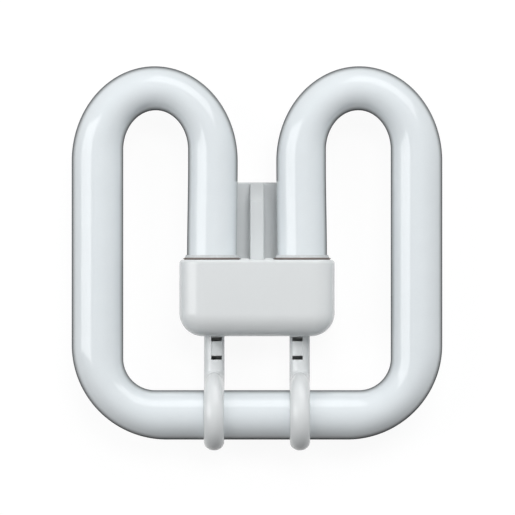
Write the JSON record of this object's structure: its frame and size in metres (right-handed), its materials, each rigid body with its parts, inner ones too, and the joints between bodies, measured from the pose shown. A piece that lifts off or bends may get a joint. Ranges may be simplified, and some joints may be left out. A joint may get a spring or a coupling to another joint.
{
  "type": "square compact fluorescent lamp",
  "caption": "Flat double-D fluorescent lamp: a bent white glass tube in two loops, a moulded cap between its inner legs, and two arms whose hooks hold the bottom limb.",
  "frame": {"origin": "middle of the lamp's outline, on the back rim of the cap, on which the lamp lies", "axes": "+X across the lamp to the right-hand loop, +Y from the hooks to the tops of the loops, +Z out of the front of the cap"},
  "size_m": [0.1382, 0.1433, 0.0328],
  "materials": {
    "tube_glass": "glossy white, phosphor coated inside",
    "cap_plastic": "satin moulded white",
    "cement": "rough basing cement",
    "brass": "drawn and satin",
    "wire": "plain wire"
  },
  "bodies": {
    "root": {"discharge_tube": "tube_glass", "cap_cover": "cap_plastic", "cap_base": "cap_plastic", "cement_collar_left": "cement", "cement_collar_right": "cement", "contact_pin_1": "brass", "contact_pin_2": "brass", "contact_pin_3": "brass", "contact_pin_4": "brass", "lead_wire_1": "wire", "lead_wire_2": "wire", "lead_wire_3": "wire", "lead_wire_4": "wire"}
  },
  "joints": []
}
